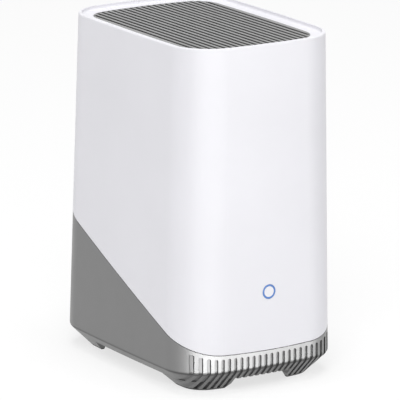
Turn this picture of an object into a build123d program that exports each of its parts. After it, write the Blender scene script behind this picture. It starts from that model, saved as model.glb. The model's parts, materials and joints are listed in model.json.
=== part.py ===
from build123d import *
import os
from math import atan, cos, degrees, pi, sin, sqrt, tan

# Security camera base station: an upright rounded housing whose white cover meets a ribbed silver
# base along a slanted seam. A grille closes the top, sockets sit in a pocket at the rear, and a
# 2.5 inch drive slides in from below, behind a shutter. Millimetres, +Z up, front towards -Y.
# The origin is on the table under the middle of the housing.

# Housing
overall_height = 185.0
base_width = 98.8
base_depth = 141.4
side_lean = 3.0
rear_lean = 6.9
front_corner = 24.0
rear_corner = 21.6
panel_bow = 3.6
side_bow = 1.25
knee_height = 11.7
knee_radius = 3.0
underside = 6.3
seam_height = 51.5
seam_rise_share = 0.43
seam_gap = 0.4
overrun = 2.0
slip = 0.15
seat = 0.05

# White cover
shell_wall = 2.2
rim_width = 1.6
rim_round = 0.7
recess_depth = 2.1
recess_round = 1.2
deck_inset = 7.6
deck_thickness = 2.2
boss_radius = 3.4
boss_length = 16.0
boss_side_inset = 17.0
boss_end_inset = 22.0
boss_web = 1.6

# Top grille
slot_count = 20
rib_pitch = 3.67
slot_width = 1.9
grille_end_border = 0.7
flange_reach = 2.4
flange_thickness = 1.4
peg_radius = 1.0
peg_inset = 6.3
peg_spread = 34.0

# Silver base
base_wall = 3.0
floor_thickness = 2.0
lip_thickness = 1.2
lip_rise = 3.0
groove_count = 24
groove_width = 1.9
groove_depth = 1.1
groove_margin = 2.0
sole_thickness = 1.0
sole_width = 2.6
foot_span_x = 18.0
foot_span_y = 20.0
foot_taper = 4.5
foot_root = 1.0
foot_root_margin = 2.0

# Fasteners
screw_radius = 1.0
screw_head_radius = 1.9
screw_head = 1.3
screw_bite = 4.5
screw_clearance = 0.15
pilot_radius = 0.95
long_screw_bite = 8.0

# Light on the front
led_height = 52.7
led_radius = 3.9
led_stroke = 1.0
led_flange = 1.1
led_depth = 4.4
led_post_spread = 8.5
led_post_radius = 2.2
led_board_width = 23.0
led_board_height = 9.0
led_board_thickness = 1.2
led_screw_bite = 2.5
led_chip = 2.2
led_chip_height = 0.9

# Chassis and boards
socket_height = 13.5
board_thickness = 1.6
board_low = 17.5
board_high = 113.5
board_front = -42.0
board_rear = 58.0
board_hole_inset = 4.0
standoff = 3.0
standoff_radius = 2.6
spine_thickness = 2.5
spine_front = -50.0
spine_rear = 50.0
spine_low = 13.3
spine_high = 148.0
spine_rim = 7.0
spine_end_rim = 14.0
spine_bar = 6.0
foot_reach = 11.0
foot_length = 12.0
foot_hole_inset = 5.0
foot_boss_radius = 3.0
shelf_reach = 40.0

# Rear sockets and buttons
pocket_width = 24.0
pocket_low = 14.6
pocket_high = 76.6
pocket_floor = 64.0
pocket_wall = 2.0
pocket_round = 4.0
plate_thickness = 2.0
plate_ear = 7.0
plate_ear_height = 8.0
power_height = 20.8
network_height = 35.6
usb_height = 53.4
reset_height = 63.6
sync_height = 71.0
power_width = 9.4
power_body_height = 11.0
power_length = 14.4
power_bore = 3.2
power_bore_depth = 10.4
power_pin_radius = 1.05
power_pin_set_back = 0.8
network_width = 16.0
network_length = 21.3
network_mouth_width = 11.9
network_mouth_height = 8.2
network_mouth_depth = 13.0
network_key_width = 4.4
network_key_height = 2.2
usb_width = 14.5
usb_body_height = 7.1
usb_length = 14.0
usb_mouth_width = 12.5
usb_mouth_height = 5.1
usb_depth = 11.0
usb_tongue = 1.9
usb_tongue_width = 11.1
usb_tongue_margin = 0.6
usb_tongue_set_back = 1.0
socket_clearance = 0.2
sync_radius = 3.5
sync_travel = 0.5
sync_proud = 0.9
sync_round = 0.3
sync_flange = 0.9
sync_flange_thickness = 1.0
plunger_radius = 1.2
plunger_clearance = 0.06
reset_hole = 0.8
reset_radius = 1.1
reset_travel = 0.3
switch_width = 5.0
switch_length = 4.5
switch_reach = 3.0
switch_gap = 0.3

# Drive bay
drive_width = 69.85
drive_thickness = 7.0
drive_length = 100.0
caddy_rail = 0.9
caddy_plate = 1.5
caddy_clearance = 0.5
caddy_lip = 1.6
cage_sheet = 1.0
cage_ear = 8.0
cage_ear_height = 12.0
cage_window_rim = 9.0
shutter_thickness = 2.0
shutter_overlap = 2.5
shutter_clearance = 0.2
shutter_grip_width = 1.6
shutter_grip_pitch = 3.2
shutter_grip_depth = 0.1
shutter_grip_share = 1 / 3
rail_width = 1.6
rail_lip = 1.4
rail_lip_thickness = 1.2
connector_length = 37.0
connector_width = 5.0
connector_depth = 5.0

# Cooling
can_size = 30.0
can_height = 2.4
can_round = 0.3
radio_can_width = 24.0
radio_can_height = 16.0
pad_thickness = 1.0
pad_size = 24.0
sink_width = 46.0
sink_height = 52.0
sink_base = 2.6
sink_depth = 15.0
fin_count = 9
fin_thickness = 1.2
chip_front = -14.0
chip_height = 70.0
radio_height = 100.0

# Speaker and its shelf
shelf_thickness = 2.0
shelf_depth = 74.0
speaker_radius = 23.0
speaker_front = -6.0
speaker_flange = 4.5
speaker_flange_thickness = 1.6
speaker_room = 1.0
basket_wall = 1.0
basket_depth = 9.0
basket_floor = 1.2
basket_hole_margin = 0.6
magnet_radius = 12.0
magnet_height = 6.5
surround_width = 3.0
surround_thickness = 0.8
cone_gap = 0.3
cone_thickness = 0.6
cone_depth = 5.0
coil_radius = 5.0
coil_height = 1.6
dust_cap = 1.6
cone_travel = 0.5
shelf_wing_y = 20.0
antenna_length = 32.0
antenna_height = 13.0
antenna_thickness = 0.8
antenna_grip_height = 4.0
antenna_grip_wall = 1.2

# Worked out from the sizes above
seam_angle = degrees(atan(seam_rise_share))
slot_fit = slip
deck_top = overall_height - recess_depth
deck_low = deck_top - deck_thickness
floor_top = underside + floor_thickness
front_face = -base_depth / 2
rear_face = base_depth / 2
board_face = -socket_height / 2
board_back = board_face - board_thickness
spine_face = board_back - standoff
spine_back = spine_face - spine_thickness
cage_inner_width = drive_width + 2 * caddy_rail + 2 * caddy_clearance
cage_inner_depth = drive_thickness + caddy_plate + caddy_lip + 2 * caddy_clearance
cage_width = cage_inner_width + 2 * cage_sheet
cage_depth = cage_inner_depth + 2 * cage_sheet
bay_x = spine_back - cage_depth / 2
shutter_low = floor_top + shutter_clearance
shutter_top = shutter_low + shutter_thickness
cage_low = shutter_top + rail_lip_thickness + 2 * shutter_clearance
caddy_low = cage_low
cage_high = caddy_low + drive_length + connector_depth
mouth_x = cage_inner_depth
mouth_y = cage_inner_width
shutter_width = mouth_x + 2 * shutter_overlap
shutter_length = mouth_y + 2 * shutter_overlap
shutter_travel = mouth_x + shutter_overlap
shelf_low = spine_high
shelf_top = shelf_low + shelf_thickness
far = 2 * overall_height


def lean_share(height):
    """How far up the leaning wall a height is, from 0 at the knee to 1 at the rim."""
    return (height - knee_height) / (overall_height - knee_height)


def half_width_at(height):
    return base_width / 2 - side_lean * lean_share(height)


def rear_at(height):
    return rear_face - rear_lean * lean_share(height)


def seam_at(y):
    return seam_height + seam_rise_share * y


def outline(height, inset=0.0):
    """The housing's outline at a height: four bowed sides and round corners, moved inwards."""
    half = half_width_at(height) - inset
    front, rear = front_face + inset, rear_at(height) - inset
    middle = (front + rear) / 2
    corner_x, front_y, rear_y = half - side_bow, front + panel_bow, rear - panel_bow
    sides = [
        ThreePointArc((-corner_x, front_y), (0, front), (corner_x, front_y)),
        ThreePointArc((corner_x, front_y), (half, middle), (corner_x, rear_y)),
        ThreePointArc((corner_x, rear_y), (0, rear), (-corner_x, rear_y)),
        ThreePointArc((-corner_x, rear_y), (-half, middle), (-corner_x, front_y)),
    ]
    face = Face(Wire([side.edge() for side in sides]))
    fronts = [corner for corner in face.vertices() if corner.Y < middle]
    face = face.fillet_2d(front_corner - inset, fronts)
    rears = [corner for corner in face.vertices() if corner.Y > middle]
    face = face.fillet_2d(rear_corner - inset, rears)
    return Pos(0, 0, height) * face


def surface_at(x, height, inset=0.0, end=-1):
    """The y of the front or rear surface at x: the bowed panel, then the round corner."""
    half = half_width_at(height) - inset
    radius = (front_corner if end < 0 else rear_corner) - inset
    flat = front_face + inset if end < 0 else rear_at(height) - inset
    chord = half - side_bow
    bow_radius = (chord * chord + panel_bow * panel_bow) / (2 * panel_bow)
    along = min(abs(x), half - radius)
    inward = bow_radius - sqrt(bow_radius * bow_radius - along * along)
    reach = min(max(abs(x) - along, 0), radius)
    inward = inward + radius - sqrt(radius * radius - reach * reach)
    return flat - end * inward


def tapered(low, high, low_inset=0.0, high_inset=None):
    """A solid between two outlines of the housing."""
    high_inset = low_inset if high_inset is None else high_inset
    wires = [outline(low, low_inset).outer_wire(), outline(high, high_inset).outer_wire()]
    return Solid.make_loft(wires, ruled=True)


def over_seam(rise):
    """All the space above the seam plane, raised by a height."""
    slab = Box(far, far, far, align=(Align.CENTER, Align.CENTER, Align.MIN))
    return Pos(0, 0, seam_height + rise) * Rot(seam_angle, 0, 0) * slab


def block(x, y, z):
    """A box given by its span along each axis."""
    size = [abs(span[1] - span[0]) for span in (x, y, z)]
    centre = [(span[0] + span[1]) / 2 for span in (x, y, z)]
    return Pos(*centre) * Box(*size)


def around(middle, size):
    return (middle - size / 2, middle + size / 2)


def rod_z(x, y, low, high, radius):
    return Pos(x, y, (low + high) / 2) * Cylinder(radius, high - low)


def rod_y(x, z, front, rear, radius):
    return Pos(x, (front + rear) / 2, z) * Rot(90, 0, 0) * Cylinder(radius, rear - front)


def rod_x(y, z, left, right, radius):
    return Pos((left + right) / 2, y, z) * Rot(0, 90, 0) * Cylinder(radius, right - left)


def joined(pieces):
    whole = pieces[0]
    for piece in pieces[1:]:
        whole = whole + piece
    return whole


def without(whole, cuts):
    for cut in cuts:
        whole = whole - cut
    return whole


# Screws, one group per fixing


def screw(rod, seat_at, towards, bite, plate):
    """One pan head screw: its head lies on seat_at and its shank runs the other way."""
    head_end = seat_at - towards * screw_head
    tip = seat_at + towards * (plate + bite)
    head = rod(min(seat_at, head_end), max(seat_at, head_end), screw_head_radius)
    shank = rod(min(seat_at, tip), max(seat_at, tip), pilot_radius)
    return head + shank


# White cover


def cover_boss_places():
    """x, y and lower end of the four bosses that the cover is screwed down by."""
    side = base_width / 2 - boss_side_inset
    places = []
    for y in (front_face + boss_end_inset, rear_face - boss_end_inset):
        for x in (-side, side):
            places.append((x, y, seam_at(y) + lip_rise + boss_radius))
    return places


def cover_boss(x, y, low):
    """A screw boss that a web ties to the side wall."""
    out = 1 if x > 0 else -1
    post = rod_z(x, y, low, low + boss_length, boss_radius)
    across = sorted((x, x + out * base_width / 2))
    web = block(across, around(y, boss_web), (low + boss_web, low + boss_length))
    return post + web


def peg_places():
    """Pegs under the deck, on the two sides and at the front and rear."""
    side = half_width_at(deck_low) - peg_inset
    front = front_face + peg_inset
    rear = rear_at(deck_low) - peg_inset
    sides = [(x, y) for x in (-side, side) for y in (-peg_spread, 0, peg_spread)]
    return sides + [(0, front), (0, rear)]


def outer_shell():
    low = seam_at(front_face) - overrun
    body = tapered(low, overall_height)
    body = fillet(body.edges().filter_by(lambda e: e.center().Z > overall_height - slip), rim_round)
    hollow = tapered(low - overrun, deck_low, shell_wall)
    recess = tapered(deck_top, overall_height + overrun, rim_width)
    low_edges = recess.edges().filter_by(lambda e: abs(e.center().Z - deck_top) < slip)
    recess = fillet(low_edges, recess_round)
    mouth = tapered(deck_low - overrun, deck_top + overrun, deck_inset)
    light = rod_y(0, led_height, front_face - overrun, front_face + shell_wall + overrun, led_radius + slip)
    shell = without(body, [hollow, recess, mouth, light])
    inside = tapered(low, deck_low, shell_wall / 2)
    for x, y, boss_low in cover_boss_places():
        shell = shell + (cover_boss(x, y, boss_low) & inside)
        shell = shell - rod_z(x, y, boss_low - overrun, boss_low + long_screw_bite, pilot_radius)
    for x, y in peg_places():
        shell = shell + rod_z(x, y, deck_low - flange_thickness - seat, deck_low + seat, peg_radius)
    for x in (-led_post_spread, led_post_spread):
        rear = led_board_front()
        post = rod_y(x, led_height, front_face + shell_wall / 2, rear, led_post_radius)
        hole = rod_y(x, led_height, rear - screw_bite + screw_radius, rear, pilot_radius)
        shell = shell + post - hole
    return shell - over_seam_complement(seam_gap / 2)


def over_seam_complement(rise):
    """All the space under the seam plane, raised by a height."""
    slab = Box(far, far, far, align=(Align.CENTER, Align.CENTER, Align.MAX))
    return Pos(0, 0, seam_height + rise) * Rot(seam_angle, 0, 0) * slab


# Top grille


def slot_cutters():
    """The square-ended slots, whose ends follow the front and rear of the plate."""
    first = -(slot_count - 1) / 2 * rib_pitch
    inset = deck_inset + grille_end_border
    run = (deck_low - flange_thickness - overrun, deck_top + overrun)
    slots = []
    for number in range(slot_count):
        x = first + number * rib_pitch
        outer_x = abs(x) + slot_width / 2
        front = surface_at(outer_x, deck_top, inset, -1)
        rear = surface_at(outer_x, deck_top, inset, 1)
        slots.append(block(around(x, slot_width), (front, rear), run))
    return slots


def top_grille():
    plate = tapered(deck_low - flange_thickness, deck_top, deck_inset + slot_fit)
    flange = tapered(deck_low - flange_thickness, deck_low, deck_inset - flange_reach)
    grille = plate + flange
    grille = without(grille, slot_cutters())
    for x, y in peg_places():
        low = deck_low - flange_thickness - overrun
        grille = grille - rod_z(x, y, low, deck_low + seat, peg_radius + seat)
    return grille


# Silver base


def base_form(low, inset=0.0):
    """The base's form below the highest seam: an upright wall that turns in 45 degrees at the knee."""
    knee = knee_height + inset * tan((pi / 4) / 2)
    high = seam_at(rear_face) + lip_rise + overrun
    wall = tapered(knee, high, inset)
    skirt = tapered(low, knee, inset + knee - low, inset)
    return wall, skirt


def rounded_base_form(low):
    wall, skirt = base_form(low)
    form = wall + skirt
    edges = form.edges().filter_by(lambda e: abs(e.center().Z - knee_height) < slip)
    return fillet(edges, knee_radius)


def foot_region(side, end):
    """The tapered corner block that a foot fills, to the given side and end."""
    def corner_face(height, taper):
        inner_x = base_width / 2 - knee_height - foot_span_x - taper
        inner_y = base_depth / 2 - knee_height - foot_span_y - taper
        x = around(side * (inner_x + base_width) / 2, base_width - inner_x)
        y = around(end * (inner_y + base_depth) / 2, base_depth - inner_y)
        middle = ((x[0] + x[1]) / 2, (y[0] + y[1]) / 2)
        return Pos(*middle, height) * Rectangle(x[1] - x[0], y[1] - y[0])
    return loft([corner_face(0, 0), corner_face(underside, foot_taper)])


def foot_places():
    return [(side, end) for end in (-1, 1) for side in (-1, 1)]


def sole_inner_inset():
    """How far in from the knee the inside of the feet stands."""
    return knee_height - sole_thickness + sole_width


def groove_places():
    first = -(groove_count - 1) / 2 * rib_pitch
    return [first + number * rib_pitch for number in range(groove_count)]


def is_fin_gap(x):
    """Whether a groove opens right through a front foot, so that its ribs stand as fins."""
    return abs(x) + groove_width / 2 < base_width / 2 - sole_inner_inset()


def fin_gaps():
    """The grooves' way right through the front feet, which leaves them as fins."""
    run = (front_face - overrun, front_face + knee_height + foot_span_y)
    places = [x for x in groove_places() if is_fin_gap(x)]
    return [block(around(x, groove_width), run, (-overrun, underside)) for x in places]


def foot_root_band(side, end, clearance):
    """The top of a foot, sunk in the floor, that holds its fins together."""
    out_inset = knee_height - underside + foot_root_margin - clearance
    in_inset = sole_inner_inset() + clearance
    low, high = underside - seat, underside + foot_root + clearance
    band = tapered(low, high, out_inset) - tapered(low - overrun, high + overrun, in_inset)
    inner_x = base_width / 2 - knee_height - foot_span_x - foot_taper + foot_root_margin - clearance
    inner_y = base_depth / 2 - knee_height - foot_span_y - foot_taper + foot_root_margin - clearance
    x = sorted((side * inner_x, side * base_width))
    y = sorted((end * inner_y, end * base_depth))
    return band & block(x, y, (low - overrun, high + overrun))


def foot(side, end):
    """One corner foot: it carries the skirt's slope on down, and the front ones stand as fins."""
    whole = rounded_base_form(sole_thickness) & foot_region(side, end)
    whole = whole - tapered(-overrun, underside + overrun, sole_inner_inset())
    if end < 0:
        whole = without(whole, fin_gaps())
    whole = whole + foot_root_band(side, end, 0)
    # The thin slice on the inner side of the last gap is left off.
    return whole.solids().sort_by(SortBy.VOLUME)[-1]


def sole(side, end):
    """The rubber sole under one foot."""
    ring = tapered(0, sole_thickness, knee_height, knee_height - sole_thickness)
    inner = tapered(-overrun, sole_thickness + overrun, sole_inner_inset())
    return (ring - inner) & foot_region(side, end)


def groove_cutters():
    """Upright grooves along the front and round its corners, all cut straight back to one depth."""
    behind = Pos(0, groove_depth, 0) * rounded_base_form(-overrun)
    run = (front_face - overrun, front_face + front_corner)
    cutters = []
    for x in groove_places():
        top = seam_at(surface_at(x, knee_height)) - groove_margin - groove_width / 2
        low = underside - overrun if is_fin_gap(x) else underside
        slab = block(around(x, groove_width), run, (low, top))
        crown = rod_y(x, top, run[0], run[1], groove_width / 2)
        cutters.append(slab + crown - behind)
    return cutters


def pocket_frame(wall, front, rear):
    """A rounded upright block at the rear, wider than the pocket by wall on every side."""
    width = pocket_width + 2 * wall
    height = pocket_high - pocket_low + 2 * wall
    face = RectangleRounded(width, height, pocket_round + wall)
    plane = Plane(origin=(0, front, (pocket_low + pocket_high) / 2), x_dir=(-1, 0, 0), z_dir=(0, 1, 0))
    return extrude(plane * face, amount=rear - front)


def shutter_rails():
    """Two guides on the floor, each with a lip over the shutter's edge."""
    run = (bay_x - shutter_width / 2, bay_x + shutter_width / 2 + shutter_travel)
    rails = []
    for side in (-1, 1):
        edge = side * (shutter_length / 2 + shutter_clearance)
        top = shutter_top + shutter_clearance
        high = top + rail_lip_thickness
        post = block(run, sorted((edge, edge + side * rail_width)), (floor_top - seat, high))
        lip = block(run, sorted((edge - side * rail_lip, edge + side * seat)), (top, high))
        rails.append(post + lip)
    return rails


def chassis_foot_holes():
    x_places = (spine_back - foot_reach + foot_hole_inset, spine_face + foot_reach - foot_hole_inset)
    y_places = (spine_front + foot_length / 2, spine_rear - foot_length / 2)
    return [(x, y) for x in x_places for y in y_places]


def ear_places():
    """x and z of the two screws that hold the socket plate."""
    x = pocket_width / 2 + pocket_wall + plate_ear / 2
    z = (pocket_low + pocket_high) / 2
    return [(-x, z), (x, z)]


def seam_lip():
    """The thin wall that stands up from the base just inside the cover."""
    lip_out = shell_wall + slip
    high = seam_at(rear_face) + lip_rise + overrun
    low = seam_at(front_face) - lip_rise
    lip = tapered(low, high, lip_out) - tapered(low - overrun, high + overrun, lip_out + lip_thickness)
    return lip - over_seam(lip_rise) - over_seam_complement(-lip_rise)


def base_housing():
    outer = rounded_base_form(sole_thickness)
    wall, skirt = base_form(floor_top, base_wall)
    housing = without(outer, groove_cutters())
    below = block(around(0, base_width + overrun), around(0, base_depth + overrun), (-overrun, underside))
    housing = housing - below
    housing = housing - wall - skirt
    housing = (housing - over_seam(-seam_gap / 2)) + seam_lip()
    housing = housing - pocket_frame(pocket_wall + slip, pocket_floor - overrun, rear_face + overrun)
    housing = without(housing, [foot_root_band(side, end, seat) for side, end in foot_places()])
    mouth = block(around(bay_x, mouth_x), around(0, mouth_y), (underside - overrun, floor_top + overrun))
    housing = joined([housing - mouth] + shutter_rails())
    for x, y in chassis_foot_holes():
        housing = housing + rod_z(x, y, floor_top - seat, spine_low, foot_boss_radius)
        housing = housing - rod_z(x, y, spine_low - screw_bite, spine_low + overrun, pilot_radius)
    for x, y, top in cover_boss_places():
        housing = housing + rod_z(x, y, floor_top - seat, top, boss_radius)
        low, seat_at = underside - overrun, long_screw_seat(top)
        housing = housing - rod_z(x, y, low, top + overrun, screw_radius + screw_clearance)
        housing = housing - rod_z(x, y, low, seat_at, screw_head_radius + screw_clearance)
    for x, z in ear_places():
        post = rod_y(x, z, pocket_floor, rear_face, screw_head_radius + seat) & outer
        housing = housing + post
        housing = housing - rod_y(x, z, pocket_floor - overrun, pocket_floor + screw_bite, pilot_radius)
    return housing


def long_screw_seat(top):
    """Where the head of a cover screw sits inside its boss."""
    return top - base_wall - screw_head_radius


def cover_screws():
    screws = []
    for x, y, top in cover_boss_places():
        seat_at = long_screw_seat(top)
        rod = lambda low, high, radius: rod_z(x, y, low, high, radius)
        screws.append(screw(rod, seat_at, 1, long_screw_bite - screw_radius, top - seat_at))
    return screws


# Light on the front


def led_board_front():
    return front_face + led_depth + led_chip_height


def led_ring():
    """Light pipe: a ring through the wall with a flange behind it."""
    inner_face = front_face + shell_wall
    tube = rod_y(0, led_height, front_face, front_face + led_depth, led_radius)
    flange = rod_y(0, led_height, inner_face + slip, front_face + led_depth, led_radius + led_flange)
    bore_end = front_face + led_depth - led_flange
    bore = rod_y(0, led_height, front_face - overrun, bore_end, led_radius - led_stroke)
    return tube + flange - bore


def led_cap():
    """The white disc inside the ring."""
    rear = front_face + led_depth - led_flange
    return rod_y(0, led_height, front_face, rear, led_radius - led_stroke - seat)


def led_board():
    """Small board behind the light, with its chip."""
    front = led_board_front()
    rear = front + led_board_thickness
    board = block(around(0, led_board_width), (front, rear), around(led_height, led_board_height))
    chip = block(around(0, led_chip), (front - led_chip_height, front), around(led_height, led_chip))
    board = board + chip
    for x in (-led_post_spread, led_post_spread):
        board = board - rod_y(x, led_height, front - overrun, front + overrun, screw_radius + screw_clearance)
    return board


def led_screws():
    seat_at = led_board_front() + led_board_thickness
    screws = []
    for x in (-led_post_spread, led_post_spread):
        rod = lambda low, high, radius: rod_y(x, led_height, low, high, radius)
        screws.append(screw(rod, seat_at, -1, led_screw_bite, led_board_thickness))
    return screws


# Chassis


def board_hole_places():
    """y and z of the board's four screws."""
    low, high = board_low + board_hole_inset, board_high - board_hole_inset
    front = board_front + board_hole_inset
    rear = spine_rear - board_hole_inset
    return [(y, z) for y in (front, rear) for z in (low, high)]


def cage_ear_places():
    """y and z of the drive cage's four screws."""
    y = cage_width / 2 + cage_ear / 2
    low = cage_low + cage_ear_height
    high = cage_high - cage_ear_height
    return [(side * y, z) for side in (-1, 1) for z in (low, high)]


def chassis():
    """Upright inner frame: a windowed wall with two feet and a top flange."""
    wall = block((spine_back, spine_face), (spine_front, spine_rear), (spine_low, spine_high))
    inner_front, inner_rear = spine_front + spine_end_rim, spine_rear - spine_end_rim
    inner_low, inner_high = spine_low + spine_end_rim, spine_high - spine_rim
    middle_y = (inner_front + inner_rear) / 2
    middle_z = (inner_low + inner_high) / 2
    windows = []
    for y in ((inner_front, middle_y - spine_bar / 2), (middle_y + spine_bar / 2, inner_rear)):
        for z in ((inner_low, middle_z - spine_bar / 2), (middle_z + spine_bar / 2, inner_high)):
            windows.append(block((spine_back - overrun, spine_face + overrun), y, z))
    frame = without(wall, windows)
    for y in ((spine_front, spine_front + foot_length), (spine_rear - foot_length, spine_rear)):
        across = (spine_back - foot_reach, spine_face + foot_reach)
        frame = frame + block(across, y, (spine_low, spine_low + spine_thickness))
    rise = (spine_high - spine_thickness, spine_high)
    frame = frame + block((spine_back, spine_face + foot_reach), around(speaker_front, shelf_depth), rise)
    for x, y in chassis_foot_holes():
        high = spine_low + spine_thickness + overrun
        frame = frame - rod_z(x, y, spine_low - overrun, high, screw_radius + screw_clearance)
    for y, z in board_hole_places():
        frame = frame + rod_x(y, z, spine_face - seat, board_back, standoff_radius)
        frame = frame - rod_x(y, z, board_back - screw_bite, board_back + overrun, pilot_radius)
    for y, z in cage_ear_places():
        frame = frame - rod_x(y, z, spine_back - overrun, spine_face + overrun, pilot_radius)
    for x, y in shelf_screw_places():
        frame = frame - rod_z(x, y, spine_high - spine_thickness - overrun, spine_high + overrun, pilot_radius)
    speaker_low = shelf_top - basket_depth - magnet_height - overrun
    return frame - rod_z(0, speaker_front, speaker_low, spine_high + overrun, speaker_radius + speaker_room)


def chassis_screws():
    screws = []
    for x, y in chassis_foot_holes():
        rod = lambda low, high, radius: rod_z(x, y, low, high, radius)
        screws.append(screw(rod, spine_low + spine_thickness, -1, screw_bite - screw_radius, spine_thickness))
    return screws


# Main board and what it carries


def main_board():
    board = block((board_back, board_face), (board_front, board_rear), (board_low, board_high))
    for y, z in board_hole_places():
        board = board - rod_x(y, z, board_back - overrun, board_face + overrun, screw_radius + screw_clearance)
    return board


def board_screws():
    screws = []
    for y, z in board_hole_places():
        rod = lambda low, high, radius: rod_x(y, z, low, high, radius)
        screws.append(screw(rod, board_face, -1, screw_bite - screw_radius, board_thickness))
    return screws


def shield_can(front, height, width, tall):
    """A drawn metal can with soft upper edges."""
    can = block((board_face, board_face + can_height), around(front, width), around(height, tall))
    edges = can.edges().filter_by(lambda e: e.center().X > board_face + can_height - slip)
    return fillet(edges, can_round)


def shield_cans():
    return [
        shield_can(chip_front, chip_height, can_size, can_size),
        shield_can(chip_front, radio_height, radio_can_width, radio_can_height),
    ]


def thermal_pad():
    left = board_face + can_height
    return block((left, left + pad_thickness), around(chip_front, pad_size), around(chip_height, pad_size))


def heatsink():
    """Aluminium base with upright fins."""
    left = board_face + can_height + pad_thickness
    upright = around(chip_height, sink_height)
    base = block((left, left + sink_base), around(chip_front, sink_width), upright)
    gap = (sink_width - fin_thickness) / (fin_count - 1)
    fins = []
    for number in range(fin_count):
        y = chip_front - sink_width / 2 + fin_thickness / 2 + number * gap
        fins.append(block((left + sink_base - seat, left + sink_depth), around(y, fin_thickness), upright))
    return joined([base] + fins)


# Sockets and switches at the rear


def network_socket():
    """Network jack: a shielded block with its keyed mouth."""
    front = pocket_floor - network_length
    across = (board_face, board_face + socket_height)
    body = block(across, (front, pocket_floor), around(network_height, network_width))
    depth = (pocket_floor - network_mouth_depth, pocket_floor + overrun)
    mouth_across = around(-network_key_height / 2, network_mouth_height)
    mouth = block(mouth_across, depth, around(network_height, network_mouth_width))
    key_low = -network_key_height / 2 + network_mouth_height / 2
    key = block((key_low - seat, key_low + network_key_height), depth, around(network_height, network_key_width))
    return body - mouth - key


def usb_socket():
    """USB socket: a sheet shell round a tongue."""
    middle = board_face + usb_body_height / 2
    run = (pocket_floor - usb_length, pocket_floor)
    body = block((board_face, board_face + usb_body_height), run, around(usb_height, usb_width))
    depth = (pocket_floor - usb_depth, pocket_floor + overrun)
    mouth = block(around(middle, usb_mouth_height), depth, around(usb_height, usb_mouth_width))
    tongue_top = middle + usb_mouth_height / 2 - usb_tongue_margin
    reach = (pocket_floor - usb_depth - seat, pocket_floor - usb_tongue_set_back)
    tongue = block((tongue_top - usb_tongue, tongue_top), reach, around(usb_height, usb_tongue_width))
    return body - mouth + tongue


def power_axis():
    return board_face + power_body_height / 2


def power_jack():
    """Barrel jack with its centre pin."""
    run = (pocket_floor - power_length, pocket_floor)
    body = block((board_face, board_face + power_body_height), run, around(power_height, power_width))
    bore_end = pocket_floor - power_bore_depth
    bore = rod_y(power_axis(), power_height, bore_end, pocket_floor + overrun, power_bore)
    pin_end = pocket_floor - power_pin_set_back
    pin = rod_y(power_axis(), power_height, bore_end - seat, pin_end, power_pin_radius)
    return body - bore + pin


def socket_plate():
    """Dark tub set in the rear wall: the pocket's walls, and its floor with the sockets' cut-outs."""
    front = pocket_floor - plate_thickness
    plate = pocket_frame(pocket_wall, front, pocket_floor)
    walls = pocket_frame(pocket_wall, pocket_floor - seat, rear_face) & rounded_base_form(sole_thickness)
    plate = plate + (walls - pocket_frame(0, pocket_floor, rear_face + overrun))
    ear_span = around(0, pocket_width + 2 * pocket_wall + 2 * plate_ear)
    ear_rise = around((pocket_low + pocket_high) / 2, plate_ear_height)
    plate = plate + block(ear_span, (front, pocket_floor), ear_rise)
    cut = (front - overrun, pocket_floor + overrun)
    gap = 2 * socket_clearance
    power_across = around(power_axis(), power_body_height + gap)
    usb_across = around(board_face + usb_body_height / 2, usb_body_height + gap)
    windows = [
        block(power_across, cut, around(power_height, power_width + gap)),
        block(around(0, socket_height + gap), cut, around(network_height, network_width + gap)),
        block(usb_across, cut, around(usb_height, usb_width + gap)),
        rod_y(0, sync_height, cut[0], cut[1], sync_radius + seat),
        rod_y(0, reset_height, cut[0], cut[1], reset_hole),
    ]
    plate = without(plate, windows)
    for x, z in ear_places():
        plate = plate - rod_y(x, z, cut[0], cut[1], screw_radius + screw_clearance)
    return plate


def plate_screws():
    screws = []
    for x, z in ear_places():
        rod = lambda low, high, radius: rod_y(x, z, low, high, radius)
        screws.append(screw(rod, pocket_floor - plate_thickness, 1, screw_bite - screw_radius, plate_thickness))
    return screws


def sync_switch_rear():
    return pocket_floor - plate_thickness - sync_flange_thickness - sync_travel - switch_gap


def sync_button():
    """Round key with a flange that the plate holds back and a plunger into its switch."""
    flange_rear = pocket_floor - plate_thickness
    flange_front = flange_rear - sync_flange_thickness
    key = rod_y(0, sync_height, flange_front, pocket_floor + sync_proud, sync_radius)
    edges = key.edges().filter_by(lambda e: e.center().Y > pocket_floor + sync_proud - slip)
    key = fillet(edges, sync_round)
    flange = rod_y(0, sync_height, flange_front, flange_rear, sync_radius + sync_flange)
    plunger_front = sync_switch_rear() - switch_length / 2
    plunger = rod_y(0, sync_height, plunger_front, flange_front + seat, plunger_radius)
    return key + flange + plunger


def switch(height, rear, radius, travel):
    """Push switch on the board's edge, with the bore that its plunger runs in."""
    body = block((board_face, switch_reach), (rear - switch_length, rear), around(height, switch_width))
    bore_end = rear - switch_length / 2 - travel - switch_gap
    bore = rod_y(0, height, bore_end, rear + overrun, radius + plunger_clearance)
    return body - bore


def sync_switch():
    return switch(sync_height, sync_switch_rear(), plunger_radius, sync_travel)


def reset_switch_rear():
    return pocket_floor - plate_thickness - reset_travel - switch_gap


def reset_switch():
    return switch(reset_height, reset_switch_rear(), reset_radius, reset_travel)


def reset_button():
    """The reset switch's own plunger, reached with a pin through the small hole."""
    front = reset_switch_rear() - switch_length / 2
    return rod_y(0, reset_height, front, reset_switch_rear() + reset_travel, reset_radius)


# Drive bay


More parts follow.
